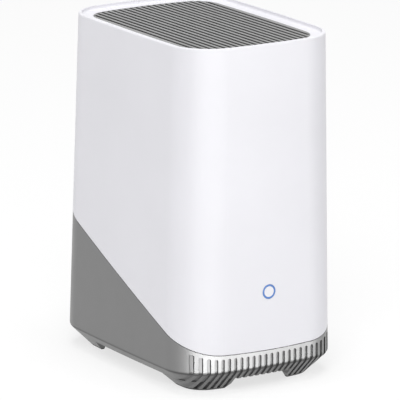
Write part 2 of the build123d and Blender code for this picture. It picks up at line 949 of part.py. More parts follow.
def drive_cage():
    """Sheet metal sleeve with four ears on the chassis and a window in its outer wall."""
    outer = block(around(bay_x, cage_depth), around(0, cage_width), (cage_low, cage_high))
    rise = (cage_low - overrun, cage_high + overrun)
    inner = block(around(bay_x, cage_inner_depth), around(0, cage_inner_width), rise)
    rim = cage_window_rim
    window = block(
        (bay_x - cage_depth / 2 - overrun, bay_x),
        around(0, cage_width - 2 * rim),
        (cage_low + rim, cage_high - rim),
    )
    cage = outer - inner - window
    for y, z in cage_ear_places():
        side = 1 if y > 0 else -1
        ear = block(
            (spine_back - cage_sheet, spine_back),
            sorted((side * (cage_width / 2 - cage_sheet), side * (cage_width / 2 + cage_ear))),
            around(z, cage_ear_height),
        )
        hole = rod_x(y, z, spine_back - overrun, spine_back + overrun, screw_radius + screw_clearance)
        cage = cage + ear - hole
    return cage


def cage_screws():
    screws = []
    for y, z in cage_ear_places():
        rod = lambda low, high, radius: rod_x(y, z, low, high, radius)
        screws.append(screw(rod, spine_back - cage_sheet, 1, spine_thickness, cage_sheet))
    return screws


def drive_caddy():
    """Tray for the drive: a plate, two side rails with lips and a pull bar at the mouth."""
    half_depth = cage_inner_depth / 2 - caddy_clearance
    half_width = cage_inner_width / 2 - caddy_clearance
    high = cage_high - connector_depth - caddy_clearance
    plate_across = (bay_x + half_depth - caddy_plate, bay_x + half_depth)
    plate = block(plate_across, around(0, 2 * half_width), (caddy_low, high))
    opening = block(
        (bay_x, bay_x + half_depth + overrun),
        around(0, 2 * half_width - 2 * cage_window_rim),
        (caddy_low + 2 * cage_window_rim, high - 2 * cage_window_rim),
    )
    across = (bay_x - half_depth, bay_x + half_depth)
    rails = []
    for side in (-1, 1):
        edge = side * half_width
        rails.append(block(across, sorted((edge, edge - side * caddy_rail)), (caddy_low, high)))
    bar = block(across, around(0, 2 * half_width), (caddy_low, caddy_low + caddy_plate))
    return joined([plate - opening] + rails + [bar])


def drive_connector():
    """Connector board on top of the cage, with the socket that the drive plugs into."""
    board = block(around(bay_x, cage_depth), around(0, cage_width), (cage_high, cage_high + board_thickness))
    rise = (cage_high - connector_depth, cage_high + seat)
    socket = block(around(bay_x, connector_width), around(0, connector_length), rise)
    slot = block(
        around(bay_x, connector_width - 2 * cage_sheet),
        around(0, connector_length - 2 * cage_sheet),
        (cage_high - connector_depth - overrun, cage_high - board_thickness),
    )
    return board + socket - slot


def bay_door():
    """Shutter over the bay's mouth, with grip bars that reach into the mouth."""
    plate = block(around(bay_x, shutter_width), around(0, shutter_length), (shutter_low, shutter_top))
    bars = []
    for number in (-1, 0, 1):
        across = around(bay_x + number * shutter_grip_pitch, shutter_grip_width)
        along = around(0, mouth_y * shutter_grip_share)
        bars.append(block(across, along, (shutter_low - shutter_grip_depth, shutter_low + seat)))
    return joined([plate] + bars)


# Speaker and its shelf


def shelf_screw_places():
    x = spine_face + foot_reach - foot_hole_inset
    return [(x, speaker_front + side * (shelf_depth / 2 - foot_hole_inset)) for side in (-1, 1)]


def speaker_screw_places():
    reach = speaker_radius + speaker_flange - screw_head_radius - seat
    turns = [(number + 1 / 2) * pi / 2 for number in range(4)]
    return [(reach * cos(turn), speaker_front + reach * sin(turn)) for turn in turns]


def speaker_shelf():
    """Shelf on the chassis that carries the speaker and, on its wings, the antennas."""
    half_width = speaker_radius + speaker_flange + spine_thickness
    plate = block(around(0, 2 * half_width), around(speaker_front, shelf_depth), (shelf_low, shelf_top))
    wings = block(around(0, 2 * shelf_reach), around(speaker_front, shelf_wing_y), (shelf_low, shelf_top))
    shelf = plate + wings
    shelf = shelf - rod_z(0, speaker_front, shelf_low - overrun, shelf_top + overrun, speaker_radius + slip)
    high = shelf_top + antenna_grip_height
    for side in (-1, 1):
        x = antenna_place(side)
        width = antenna_thickness + 2 * antenna_grip_wall
        grip = block(around(x, width), around(speaker_front, shelf_wing_y), (shelf_top - seat, high))
        slot_run = around(speaker_front, shelf_wing_y + overrun)
        slot = block(around(x, antenna_thickness + seat), slot_run, (shelf_top, high + overrun))
        shelf = shelf + grip - slot
    for x, y in shelf_screw_places():
        shelf = shelf - rod_z(x, y, shelf_low - overrun, shelf_top + overrun, screw_radius + screw_clearance)
    for x, y in speaker_screw_places():
        shelf = shelf - rod_z(x, y, shelf_low - overrun, shelf_top + overrun, pilot_radius)
    return shelf


def antenna_place(side):
    return side * (shelf_reach - antenna_grip_wall - antenna_thickness / 2)


def antenna(side):
    """Upright antenna board in the grip of a shelf wing."""
    rise = (shelf_top, shelf_top + antenna_height)
    return block(around(antenna_place(side), antenna_thickness), around(speaker_front, antenna_length), rise)


def shelf_screws():
    screws = []
    for x, y in shelf_screw_places():
        rod = lambda low, high, radius: rod_z(x, y, low, high, radius)
        screws.append(screw(rod, shelf_top, -1, spine_thickness, shelf_thickness))
    return screws


def speaker_frame():
    """Pressed basket: a flange on the shelf and a cup that holds the magnet."""
    low = shelf_top - basket_depth
    high = shelf_top + speaker_flange_thickness
    flange = rod_z(0, speaker_front, shelf_top, high, speaker_radius + speaker_flange)
    cup = rod_z(0, speaker_front, low, shelf_top + seat, speaker_radius)
    hollow = rod_z(0, speaker_front, low + basket_floor, high + overrun, speaker_radius - basket_wall)
    frame = flange + cup - hollow
    floor_high = low + basket_floor + seat
    frame = frame - rod_z(0, speaker_front, low - overrun, floor_high, coil_radius + basket_hole_margin)
    for x, y in speaker_screw_places():
        frame = frame - rod_z(x, y, shelf_top - seat, shelf_top + overrun, screw_radius + screw_clearance)
    return frame


def speaker_screws():
    screws = []
    for x, y in speaker_screw_places():
        rod = lambda low, high, radius: rod_z(x, y, low, high, radius)
        seat_at = shelf_top + speaker_flange_thickness
        screws.append(screw(rod, seat_at, -1, shelf_thickness, speaker_flange_thickness))
    return screws


def speaker_magnet():
    """Magnet pot under the basket, with the gap that the coil runs in."""
    high = shelf_top - basket_depth
    pot = rod_z(0, speaker_front, high - magnet_height, high, magnet_radius)
    gap_low = high - coil_height - cone_travel - cone_gap
    gap = rod_z(0, speaker_front, gap_low, high + overrun, coil_radius + cone_gap)
    pole = rod_z(0, speaker_front, gap_low - seat, high, coil_radius - cone_thickness - cone_gap)
    return pot - gap + pole


def surround_inner():
    return speaker_radius - basket_wall - surround_width


def speaker_surround():
    """Rubber ring glued to the basket's edge, rolled round the cone."""
    top = shelf_top + speaker_flange_thickness
    outer = rod_z(0, speaker_front, top, top + surround_thickness, speaker_radius)
    hole = rod_z(0, speaker_front, top - overrun, top + overrun, surround_inner())
    return outer - hole


def speaker_cone():
    """Cone with its coil former and dust cap, which moves as one."""
    rim = surround_inner() - cone_gap
    top = shelf_top + speaker_flange_thickness
    low = top - cone_depth
    high = low + cone_thickness
    outer = [(coil_radius, low), (rim, top), (rim, top + cone_thickness), (coil_radius, high)]
    profile = Plane.XZ * make_face(Polyline(outer, close=True))
    cone = revolve(profile, Axis.Z)
    former_low = shelf_top - basket_depth - coil_height
    former = rod_z(0, 0, former_low, high, coil_radius)
    former = former - rod_z(0, 0, former_low - overrun, low, coil_radius - cone_thickness)
    dome_radius = (coil_radius * coil_radius + dust_cap * dust_cap) / (2 * dust_cap)
    dome = Pos(0, 0, high + dust_cap - dome_radius) * Sphere(dome_radius)
    dome = dome & rod_z(0, 0, high - seat, high + dust_cap, coil_radius + cone_thickness)
    return Pos(0, speaker_front, 0) * (cone + former + dome)


def build_nodes():
    nodes = {
        "outer_shell": outer_shell(),
        "top_grille": top_grille(),
        "base_housing": base_housing(),
        "cover_screws": cover_screws(),
        "led_ring": led_ring(),
        "led_cap": led_cap(),
        "led_board": led_board(),
        "led_screws": led_screws(),
        "chassis": chassis(),
        "chassis_screws": chassis_screws(),
        "main_board": main_board(),
        "board_screws": board_screws(),
        "shield_cans": shield_cans(),
        "thermal_pad": thermal_pad(),
        "heatsink": heatsink(),
        "network_socket": network_socket(),
        "usb_socket": usb_socket(),
        "power_jack": power_jack(),
        "socket_plate": socket_plate(),
        "plate_screws": plate_screws(),
        "sync_switch": sync_switch(),
        "sync_button": sync_button(),
        "reset_switch": reset_switch(),
        "reset_button": reset_button(),
        "drive_cage": drive_cage(),
        "cage_screws": cage_screws(),
        "drive_caddy": drive_caddy(),
        "drive_connector": drive_connector(),
        "bay_door": bay_door(),
        "speaker_shelf": speaker_shelf(),
        "shelf_screws": shelf_screws(),
        "antenna_left": antenna(-1),
        "antenna_right": antenna(1),
        "speaker_frame": speaker_frame(),
        "speaker_screws": speaker_screws(),
        "speaker_magnet": speaker_magnet(),
        "speaker_surround": speaker_surround(),
        "speaker_cone": speaker_cone(),
    }
    ends = {-1: "front", 1: "rear"}
    sides = {-1: "left", 1: "right"}
    for side, end in foot_places():
        place = ends[end] + "_" + sides[side]
        nodes["foot_" + place] = foot(side, end)
        nodes["sole_" + place] = sole(side, end)
    return nodes


def main():
    os.makedirs("parts", exist_ok=True)
    for name, shape in build_nodes().items():
        solids = shape if isinstance(shape, list) else shape.solids()
        whole = Compound(children=[piece.solid() for piece in solids])
        export_step(whole, "parts/" + name + ".step")


main()
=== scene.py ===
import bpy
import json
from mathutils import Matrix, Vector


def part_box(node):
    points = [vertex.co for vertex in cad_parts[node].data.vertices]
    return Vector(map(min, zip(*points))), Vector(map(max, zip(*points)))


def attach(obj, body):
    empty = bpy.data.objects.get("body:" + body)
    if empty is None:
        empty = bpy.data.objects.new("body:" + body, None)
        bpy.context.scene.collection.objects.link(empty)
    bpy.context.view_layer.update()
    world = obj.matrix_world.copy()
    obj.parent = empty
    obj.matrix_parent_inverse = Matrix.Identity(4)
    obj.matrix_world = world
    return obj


bl_info = {
    "name": "Camera base station",
    "version": (1, 0, 0),
    "blender": (4, 5, 0),
    "location": "View3D > Sidebar > Base station",
    "description": "Finishes and fine pieces of a security camera base station",
    "category": "Object",
}

import json
import math

import bmesh
import bpy
from mathutils import Matrix, Vector

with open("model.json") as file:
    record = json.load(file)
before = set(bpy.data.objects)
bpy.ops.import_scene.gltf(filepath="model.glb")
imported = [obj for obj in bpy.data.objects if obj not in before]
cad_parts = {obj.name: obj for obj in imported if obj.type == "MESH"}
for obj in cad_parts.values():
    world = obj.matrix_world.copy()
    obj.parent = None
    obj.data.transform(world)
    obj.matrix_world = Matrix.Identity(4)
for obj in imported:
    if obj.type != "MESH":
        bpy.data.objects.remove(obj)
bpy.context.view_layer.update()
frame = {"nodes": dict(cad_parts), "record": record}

MM = 0.001

# The camera, from a fit to the housing's edges, in a picture 400 pixels wide and high
PICTURE = 400
CAMERA_AZIMUTH = -31.735
CAMERA_ELEVATION = 14.132
CAMERA_DISTANCE = 2273.25 * MM
CAMERA_NEAR, CAMERA_FAR = 0.1, 50
FOCAL_PIXELS = 4258.12
AIM_ACROSS = 1.07 * MM
AIM_UP = -5.42 * MM
AIM_HEIGHT = 92.5 * MM
SENSOR = 36.0

# Lamps: azimuth from the front and elevation in degrees, distance from the station and width in metres
KEY_LAMP = (-38.0, 44.0, 2.8, 1.5)
FRONT_LAMP = (34.0, 17.0, 2.8, 1.5)
TOP_LAMP = (0.0, 88.0, 2.8, 1.5)
SHEEN_LAMP = (-8.0, 1.0, 2.0, 5.6)
SHEEN_HEIGHT = 0.16
FLOOR_SIZE = 12.0

# The base's grooves, for the painted shade in them: pitch and width, the slant that their tops follow, and
# how far back they run
GROOVE_PITCH = 3.67 * MM
GROOVE_WIDTH = 2.0 * MM
GROOVE_REACH = 12 * GROOVE_PITCH
SEAM_RISE = 0.43
GROOVE_TOP = 49.0 * MM
GROOVE_REAR = -44.0 * MM

# How far a face leans down, as a cosine: where the knee's painted shade starts, is full, and has become the
# skirt's
KNEE_START, KNEE_FULL, SKIRT = 0.05, 0.40, 0.72
SKIRT_SHADE = 0.4

# The slots' walls carry painted shade from the lower depth under the grille's top, and are plain above the
# upper one
SLOT_DARK, SLOT_PLAIN = 0.45 * MM, 0.15 * MM

# Where nearly all of a noise lies
NOISE_LOW, NOISE_HIGH = 0.3, 0.7

# Modelling: directions, the cosine from which a face looks one way, and the distance that counts as none
RIGHT, REAR, UP = (1, 0, 0), (0, 1, 0), (0, 0, 1)
FACING = 0.5
SLACK = 0.01 * MM
WELD = 0.001 * MM
ROD_SIDES = 32
SMOOTH_ANGLE = 35.0

# Insets are pairs of thickness and depth, and boxes pairs of distances across, along the depth and up

# Network contacts: their root from the socket's left and its mouth, then the reach and the rise of each bend
CONTACT_COUNT = 8
CONTACT_ROOT = 2.0 * MM
CONTACT_DEPTH = 12.6 * MM
CONTACT_STUB = 1.2 * MM
CONTACT_BENDS = ((5.0 * MM, 0.6 * MM), (3.4 * MM, 2.4 * MM), (0.9 * MM, -0.3 * MM))
CONTACT_ROUND = 0.08 * MM

# USB contacts: places from the socket's middle, depth from its mouth, and how they lie on the tongue's face
USB_PLACES = (-3.5 * MM, -1.0 * MM, 1.0 * MM, 3.5 * MM)
USB_DEPTH = 9.6 * MM
USB_WALL = 1.0 * MM
TONGUE_MARGIN = 0.6 * MM
TONGUE_THICKNESS = 1.9 * MM
USB_OUTER, USB_INNER = 0.25 * MM, 0.02 * MM
USB_INSETS = ((0.2 * MM, 0.06 * MM),)
USB_ROUND = 0.05 * MM

# The network socket's liner, from the socket's left, its mouth and its middle
LINER_ACROSS = (1.57 * MM, 9.73 * MM)
LINER_DEPTH = 12.98 * MM
LINER_REACH = 12.4 * MM
LINER_HALF = 5.93 * MM

# The USB tongue's sleeve, from the socket's right, its mouth and its middle
SLEEVE_ACROSS = (3.58 * MM, 1.52 * MM)
SLEEVE_RUN = (10.98 * MM, 0.85 * MM)
SLEEVE_HALF = 5.63 * MM
SLEEVE_INSETS = ((0.3 * MM, 0.15 * MM),)
SLEEVE_ROUND = 0.1 * MM

# The power inlet's pin: its middle from the inlet's left and its mouth
PIN_ACROSS = 5.5 * MM
PIN_DEPTH = 5.5 * MM
PIN_RADIUS = 1.1 * MM
PIN_LENGTH = 9.4 * MM
PIN_INSETS = ((0.3 * MM, 0.2 * MM), (0.4 * MM, 0.12 * MM))

# Screw heads
DRIVE_DEPTH = 1.0 * MM
HEAD_RISE = 0.12 * MM
HEAD_INSETS = ((0.35 * MM, 0.16 * MM), (0.5 * MM, 0.08 * MM))

# Chips on the main board, with legs along both long sides
CHIP_BOX = ((0.1 * MM, 1.1 * MM), (15 * MM, 27 * MM), (78 * MM, 96 * MM))
CHIP_INSETS = ((0.5 * MM, -0.06 * MM),)
CHIP_ROUND = 0.12 * MM
CHIP_STEP = (0, 0, -26 * MM)
LEG_ACROSS = (0.35 * MM, 0.6 * MM)
LEG_LENGTH = 0.7 * MM
LEG_RISE = (79.2 * MM, 79.7 * MM)
LEG_DROP = 0.35 * MM
LEG_TOE = 0.5 * MM
LEG_COUNT = 16
LEG_PITCH = 1.0 * MM

# Coils
COIL_BOX = ((0, 3.2 * MM), (22 * MM, 29 * MM), (26 * MM, 33 * MM))
COIL_INSETS = ((0.6 * MM, 0.25 * MM), (1.2 * MM, -0.2 * MM))
COIL_ROUND = 0.35 * MM
COIL_STEP = (0, -10 * MM, 0)

# Capacitors, each on a square foot
CAN_ALONG, CAN_UP = -6 * MM, 28 * MM
CAN_STEP = -9 * MM
CAN_INSETS = ((0.35 * MM, 0.15 * MM), (0.3 * MM, -0.15 * MM))
FOOT_HALF = 3.4 * MM
FOOT_THICKNESS = 0.8 * MM
FOOT_INSETS = ((0.4 * MM, 0.1 * MM),)
FOOT_ROUND = 0.3 * MM

# Rows of small parts
SMALL_BOX = ((0, 0.7 * MM), (32 * MM, 32.8 * MM), (66 * MM, 67.6 * MM))
SMALL_INSET = (0.06 * MM, 0.05 * MM)
SMALL_COUNT = 11
SMALL_PITCH = 3.2 * MM
SMALL_ROW_STEP = 4.5 * MM


# Settings


def colour(name, description, value):
    """A colour that the user can change."""
    return bpy.props.FloatVectorProperty(
        name=name, description=description, default=value, subtype="COLOR", size=3, min=0, max=1
    )


def share(name, description, value):
    """A share from 0 to 1 that the user can change."""
    return bpy.props.FloatProperty(
        name=name, description=description, default=value, min=0, max=1, subtype="FACTOR"
    )


def length(name, description, value):
    """A length that the user can change."""
    return bpy.props.FloatProperty(
        name=name, description=description, default=value, min=0, unit="LENGTH"
    )


def power(name, description, value):
    """A lamp's power that the user can change."""
    return bpy.props.FloatProperty(
        name=name, description=description, default=value, min=0, unit="POWER"
    )


class StationFinish(bpy.types.PropertyGroup):
    """Colours and gloss of the housing."""

    cover: colour("Cover", "White of the upper cover", (0.84, 0.835, 0.875))
    cover_roughness: share("Cover roughness", "Roughness of the cover's fine grain", 0.42)
    silver: colour("Silver", "Metallic paint of the base", (0.20, 0.20, 0.20))
    silver_roughness: share("Silver roughness", "Roughness of the metallic paint", 0.42)
    # The groove tone is painted shade in the front grooves
    groove_shade_share: share("Groove tone", "Share of the paint's tone that the grooves keep", 0.72)
    # The knee tone is painted shade round the lower edge and on the skirt
    knee_shade_share: share("Knee tone", "Share of the paint's tone that the rounded lower edge keeps", 0.36)
    grille: colour("Grille", "Grey of the top grille", (0.275, 0.275, 0.275))
    # The slots' grey is painted shade on the slots' walls
    slots: colour("Slots", "Shaded grey of the slots' walls", (0.045, 0.045, 0.045))
    ring: colour("Ring", "Blue of the lit ring", (0.012, 0.13, 0.44))
    rubber: colour("Soles", "Rubber of the soles", (0.03, 0.03, 0.031))


class StationContacts(bpy.types.PropertyGroup):
    """Sizes of the spring contacts in the rear sockets."""

    network_pitch: length("Network pitch", "From one network contact to the next", 1.02 * MM)
    network_width: length("Network width", "Width of one network contact", 0.45 * MM)
    usb_width: length("USB width", "Width of one USB contact", 1.0 * MM)
    usb_reach: length("USB reach", "Length of one USB contact", 7.0 * MM)


class StationDetails(bpy.types.PropertyGroup):
    """Sizes of the screws' heads and of the parts on the board."""

    head_radius: length("Head radius", "Radius of a screw's domed rim", 1.93 * MM)
    head_wrap: length("Head wrap", "How far the rim reaches down a screw's head", 0.2 * MM)
    drive_reach: length("Drive reach", "From tip to tip of a screw's cross drive", 2.4 * MM)
    drive_width: length("Drive width", "Width of one arm of the cross drive", 0.5 * MM)
    liner_wall: length("Liner wall", "Wall of the dark liners in the sockets", 0.25 * MM)
    can_radius: length("Capacitor radius", "Radius of a round capacitor", 3.2 * MM)
    can_length: length("Capacitor length", "Length of a round capacitor", 8.0 * MM)


class StationStage(bpy.types.PropertyGroup):
    """Floor, lamps and camera."""

    floor: colour("Floor", "Colour of the floor", (0.85, 0.85, 0.85))
    floor_glow: share("Floor glow", "How much the floor shows its own white to the camera", 0.70)
    ambient: share("Ambient", "Level of the plain white room", 0.48)
    key: power("Key lamp", "Power of the large lamp beside the camera", 29.0)
    front: power("Front lamp", "Power of the low lamp that faces the front", 3.3)
    top: power("Top lamp", "Power of the lamp overhead", 29.0)
    sheen: power("Sheen lamp", "Power of the lamp that only shows in reflections", 290.0)


# Materials


def new_material(name):
    """A new node material, with its tree, its shader and object coordinates."""
    material = bpy.data.materials.new(name)
    material.use_nodes = True
    tree = material.node_tree
    coordinates = tree.nodes.new("ShaderNodeTexCoord")
    return material, tree, tree.nodes["Principled BSDF"], coordinates.outputs["Object"]


def calculate(tree, operation, first, second):
    """A math node's output; the operands are sockets or numbers."""
    node = tree.nodes.new("ShaderNodeMath")
    node.operation = operation
    for socket, value in zip(node.inputs, (first, second)):
        if isinstance(value, bpy.types.NodeSocket):
            tree.links.new(value, socket)
        else:
            socket.default_value = value
    return node.outputs["Value"]


def separate(tree, vector):
    """The three parts of a vector."""
    split = tree.nodes.new("ShaderNodeSeparateXYZ")
    tree.links.new(vector, split.inputs["Vector"])
    return [split.outputs[axis] for axis in "XYZ"]


def mix_colours(tree, factor, first, second, blend="MIX"):
    """A colour mix's output; the colours are sockets or three channels."""
    mix = tree.nodes.new("ShaderNodeMix")
    mix.data_type = "RGBA"
    mix.blend_type = blend
    tree.links.new(factor, mix.inputs["Factor"])
    for name, value in (("A", first), ("B", second)):
        if isinstance(value, bpy.types.NodeSocket):
            tree.links.new(value, mix.inputs[name])
        else:
            mix.inputs[name].default_value = (*value, 1)
    return mix.outputs["Result"]


def add_noise(tree, where, scale, detail=2.0):
    """An even noise over the coordinates."""
    noise = tree.nodes.new("ShaderNodeTexNoise")
    noise.inputs["Scale"].default_value = scale
    noise.inputs["Detail"].default_value = detail
    tree.links.new(where, noise.inputs["Vector"])
    return noise.outputs["Fac"]


def spread(tree, factor, low, high):
    """A noise, moved to the range from low to high."""
    ranged = tree.nodes.new("ShaderNodeMapRange")
    ranged.inputs["From Min"].default_value = NOISE_LOW
    ranged.inputs["From Max"].default_value = NOISE_HIGH
    ranged.inputs["To Min"].default_value = low
    ranged.inputs["To Max"].default_value = high
    tree.links.new(factor, ranged.inputs["Value"])
    return ranged.outputs["Result"]


def set_tone(tree, shader, factor, base, drift):
    """Lets the colour drift with the factor, by a share of its tone each way."""
    dark = [channel * (1 - drift) for channel in base]
    light = [min(channel * (1 + drift), 1) for channel in base]
    tree.links.new(mix_colours(tree, factor, dark, light), shader.inputs["Base Color"])


def set_roughness(tree, shader, noise, low, high):
    """Lets the roughness drift with a noise, from low to high."""
    tree.links.new(spread(tree, noise, low, high), shader.inputs["Roughness"])


def set_grain(tree, shader, factor, height, strength):
    """Gives the surface a fine relief that follows the factor."""
    bump = tree.nodes.new("ShaderNodeBump")
    bump.inputs["Strength"].default_value = strength
    bump.inputs["Distance"].default_value = height
    tree.links.new(factor, bump.inputs["Height"])
    tree.links.new(bump.outputs["Normal"], shader.inputs["Normal"])


def moulded_plastic(name, base, roughness, depth=0.03 * MM, specular=0.5):
    """Moulded plastic: a fine even grain, a slight drift of tone and of gloss."""
    material, tree, shader, where = new_material(name)
    tone = add_noise(tree, where, scale=18.0, detail=3.0)
    set_tone(tree, shader, spread(tree, tone, 0, 1), base, drift=0.015)
    gloss = add_noise(tree, where, scale=55.0, detail=3.0)
    set_roughness(tree, shader, gloss, low=roughness - 0.03, high=roughness + 0.03)
    grain = add_noise(tree, where, scale=1 / (0.5 * MM))
    set_grain(tree, shader, grain, height=depth, strength=0.25)
    shader.inputs["IOR"].default_value = 1.49
    shader.inputs["Specular IOR Level"].default_value = specular
    return material


def metallic_paint(name, base, roughness):
    """Paint with fine metal flakes under a thin clear coat."""
    material, tree, shader, where = new_material(name)
    flakes = tree.nodes.new("ShaderNodeTexVoronoi")
    flakes.inputs["Scale"].default_value = 1 / (0.22 * MM)
    tree.links.new(where, flakes.inputs["Vector"])
    set_tone(tree, shader, flakes.outputs["Distance"], base, drift=0.06)
    gloss = add_noise(tree, where, scale=60.0, detail=3.0)
    set_roughness(tree, shader, gloss, low=roughness - 0.03, high=roughness + 0.03)
    set_grain(tree, shader, flakes.outputs["Distance"], height=0.02 * MM, strength=0.12)
    shader.inputs["Metallic"].default_value = 0.75
    shader.inputs["Coat Weight"].default_value = 0.12
    shader.inputs["Coat Roughness"].default_value = 0.35
    return material


def deepen(tree, factor, kept_share):
    """Multiplies the base colour by the kept share where the factor is 1."""
    base = tree.nodes["Principled BSDF"].inputs["Base Color"]
    deeper = mix_colours(tree, factor, base.links[0].from_socket, [kept_share] * 3, blend="MULTIPLY")
    tree.links.new(deeper, base)


def painted_groove_shade(material, kept_share):
    """Paints shade into the upright grooves of the front, by deepening the paint there."""
    tree = material.node_tree
    x, y, z = separate(tree, tree.nodes["Texture Coordinate"].outputs["Object"])
    turn = calculate(tree, "PINGPONG", x, GROOVE_PITCH / 2)
    inside = calculate(tree, "GREATER_THAN", turn, GROOVE_PITCH / 2 - GROOVE_WIDTH / 2)
    top = calculate(tree, "ADD", calculate(tree, "MULTIPLY", y, SEAM_RISE), GROOVE_TOP)
    off_middle = calculate(tree, "ABSOLUTE", x, 0.0)
    for place, limit in ((z, top), (y, GROOVE_REAR), (off_middle, GROOVE_REACH)):
        inside = calculate(tree, "MULTIPLY", inside, calculate(tree, "LESS_THAN", place, limit))
    # Painted shade in the grooves
    deepen(tree, inside, kept_share)
    return material


def painted_knee_shade(material, kept_share):
    """Paints shade round the rounded lower edge, and less shade on the skirt below it, by deepening the
    paint.
    """
    tree = material.node_tree
    geometry = tree.nodes.new("ShaderNodeNewGeometry")
    down = calculate(tree, "MULTIPLY", separate(tree, geometry.outputs["Normal"])[2], -1.0)
    ramp = tree.nodes.new("ShaderNodeValToRGB")
    ramp.color_ramp.interpolation = "EASE"
    stops = ramp.color_ramp.elements
    stops[0].position, stops[0].color = KNEE_START, (0, 0, 0, 1)
    stops[1].position, stops[1].color = SKIRT, (*[SKIRT_SHADE] * 3, 1)
    stops.new(KNEE_FULL).color = (1, 1, 1, 1)
    tree.links.new(down, ramp.inputs["Fac"])
    # Painted shade on faces that lean down
    deepen(tree, ramp.outputs["Color"], kept_share)
    return material


def sheet_metal(name, base, roughness, stretch=(1, 1, 24)):
    """Rolled metal, with faint lines along its rolling direction."""
    material, tree, shader, where = new_material(name)
    mapping = tree.nodes.new("ShaderNodeMapping")
    mapping.inputs["Scale"].default_value = stretch
    tree.links.new(where, mapping.inputs["Vector"])
    lines = add_noise(tree, mapping.outputs["Vector"], scale=160.0, detail=4.0)
    set_tone(tree, shader, spread(tree, lines, 0, 1), base, drift=0.06)
    set_roughness(tree, shader, lines, low=roughness - 0.06, high=roughness + 0.06)
    set_grain(tree, shader, lines, height=0.01 * MM, strength=0.2)
    shader.inputs["Metallic"].default_value = 1.0
    return material


def soft_rubber(name, base):
    """Matt rubber with a fine pebble."""
    material, tree, shader, where = new_material(name)
    tone = add_noise(tree, where, scale=90.0, detail=3.0)
    set_tone(tree, shader, spread(tree, tone, 0, 1), base, drift=0.10)
    set_roughness(tree, shader, add_noise(tree, where, scale=300.0), low=0.70, high=0.86)
    pebble = add_noise(tree, where, scale=1 / (0.35 * MM))
    set_grain(tree, shader, pebble, height=0.05 * MM, strength=0.4)
    return material


def circuit_board(name, base):
    """Solder mask over copper tracks: fine lines of a lighter green."""
    material, tree, shader, where = new_material(name)
    darker = [channel * 0.86 for channel in base]
    lighter = [min(channel * 1.9 + 0.01, 1) for channel in base]
    tracks = tree.nodes.new("ShaderNodeTexBrick")
    tracks.inputs["Scale"].default_value = 210.0
    tracks.inputs["Mortar Size"].default_value = 0.045
    for socket, tone in (("Color1", base), ("Color2", darker), ("Mortar", lighter)):
        tracks.inputs[socket].default_value = (*tone, 1)
    mapping = tree.nodes.new("ShaderNodeMapping")
    mapping.inputs["Rotation"].default_value = (0, math.pi / 2, 0)
    tree.links.new(where, mapping.inputs["Vector"])
    tree.links.new(mapping.outputs["Vector"], tracks.inputs["Vector"])
    tree.links.new(tracks.outputs["Color"], shader.inputs["Base Color"])
    set_grain(tree, shader, tracks.outputs["Fac"], height=0.03 * MM, strength=0.3)
    set_roughness(tree, shader, add_noise(tree, where, scale=120.0), low=0.30, high=0.40)
    return material


def lit_ring(name, base):
    """Frosted light pipe that glows a little."""
    material = moulded_plastic(name, base, roughness=0.35, depth=0.005 * MM)
    shader = material.node_tree.nodes["Principled BSDF"]
    shader.inputs["Emission Color"].default_value = (*base, 1)
    shader.inputs["Emission Strength"].default_value = 0.15
    return material


def grille_plastic(name, base, deep, top):
    """Moulded plastic that is darker below its top face: painted shade on the slots' walls."""
    material = moulded_plastic(name, base, roughness=0.5)
    tree = material.node_tree
    shown = tree.nodes["Principled BSDF"].inputs["Base Color"]
    height = tree.nodes.new("ShaderNodeMapRange")
    height.inputs["From Min"].default_value = top - SLOT_DARK
    height.inputs["From Max"].default_value = top - SLOT_PLAIN
    z = separate(tree, tree.nodes["Texture Coordinate"].outputs["Object"])[2]
    tree.links.new(z, height.inputs["Value"])
    # Painted shade below the grille's top face
    tone = mix_colours(tree, height.outputs["Result"], deep, shown.links[0].from_socket)
    tree.links.new(tone, shown)
    return material


def silver_paint(finish):
    """The base's paint, deepened by painted shade in its grooves and round its knee."""
    paint = metallic_paint("base_silver", finish.silver, finish.silver_roughness)
    return painted_knee_shade(painted_groove_shade(paint, finish.groove_shade_share), finish.knee_shade_share)


def build_materials(finish):
    """Each of the record's material slots, with its material."""
    grille_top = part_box("top_grille")[1].z
    return {
        "white_cover": moulded_plastic("cover_white", finish.cover, finish.cover_roughness, specular=0.2),
        "silver_paint": silver_paint(finish),
        # The grille's slot walls get painted shade
        "grey_grille": grille_plastic("grille_grey", finish.grille, finish.slots, grille_top),
        "blue_light": lit_ring("ring_blue", finish.ring),
        "white_plastic": moulded_plastic("cap_white", finish.cover, roughness=0.3, depth=0.005 * MM),
        "screw_steel": sheet_metal("screw_steel", (0.50, 0.50, 0.51), roughness=0.35, stretch=(6, 6, 6)),
        "black_plastic": moulded_plastic("socket_black", (0.022, 0.022, 0.024), roughness=0.45),
        "inner_plastic": moulded_plastic("chassis_grey", (0.10, 0.10, 0.105), roughness=0.5),
        "circuit_board": circuit_board("board_green", (0.012, 0.085, 0.035)),
        "tinned_steel": sheet_metal("tinned_steel", (0.66, 0.66, 0.65), roughness=0.32),
        "pad_rubber": soft_rubber("pad_blue_grey", (0.32, 0.38, 0.45)),
        "sink_aluminium": sheet_metal("sink_aluminium", (0.72, 0.72, 0.73), roughness=0.4),
        "cage_steel": sheet_metal("cage_steel", (0.60, 0.60, 0.60), roughness=0.38),
        "magnet_iron": sheet_metal("magnet_iron", (0.16, 0.16, 0.165), roughness=0.5, stretch=(4, 4, 4)),
        "sole_rubber": soft_rubber("sole_rubber", finish.rubber),
        "switch_pin": moulded_plastic("switch_pin", (0.62, 0.58, 0.50), roughness=0.4),
        "contact_gold": sheet_metal("contact_gold", (0.80, 0.58, 0.22), roughness=0.28),
    }


# Filled by the first operator
MATERIALS = {}


# Modelling helpers


def deselect_all():
    """Leaves edit mode and deselects every object."""
    if bpy.context.object and bpy.context.object.mode != "OBJECT":
        bpy.ops.object.mode_set(mode="OBJECT")
    bpy.ops.object.select_all(action="DESELECT")


